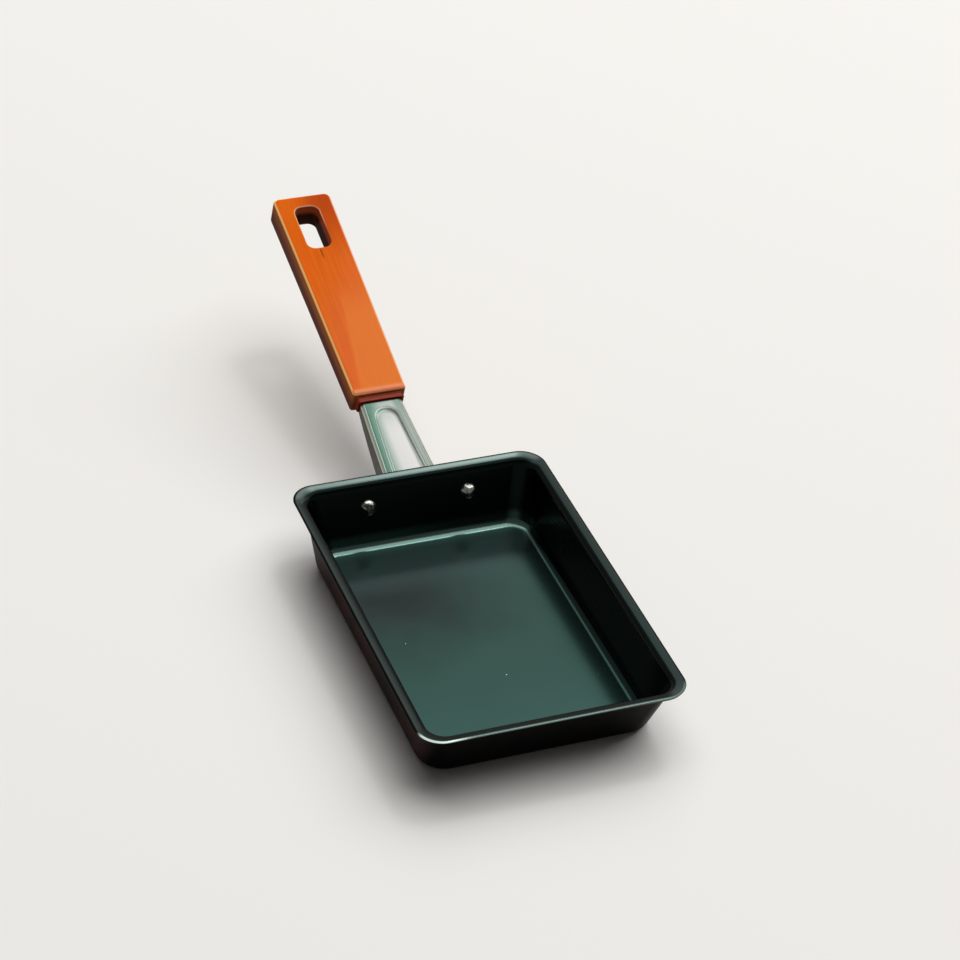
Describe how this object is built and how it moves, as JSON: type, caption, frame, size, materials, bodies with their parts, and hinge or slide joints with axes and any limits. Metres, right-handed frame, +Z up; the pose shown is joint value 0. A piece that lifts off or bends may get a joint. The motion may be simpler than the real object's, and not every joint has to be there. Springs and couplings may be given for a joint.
{
  "type": "tamagoyaki pan",
  "caption": "Rectangular pan for rolled omelettes, pressed steel with a flared rim, a riveted bracket and a wooden grip with a hanging slot.",
  "frame": {"origin": "centre of the underside of the pan's flat base, on the surface it stands on", "axes": "+Z up, +Y from the pan towards the end of the handle, +X to the right seen from the pan's front looking along the handle"},
  "size_m": [0.13, 0.3788, 0.0785],
  "materials": {
    "coated_steel": "satin dark green non-stick coating on steel",
    "bracket_enamel": "glossy pale grey green enamel on steel",
    "rivet_steel": "bright, lightly worn",
    "lacquered_wood": "glossy orange brown lacquer",
    "screw_steel": "zinc plated"
  },
  "bodies": {
    "root": {"pan_body": "coated_steel", "handle_bracket": "bracket_enamel", "rivet_left": "rivet_steel", "rivet_right": "rivet_steel", "wood_grip": "lacquered_wood", "handle_screw": "screw_steel"}
  },
  "joints": []
}
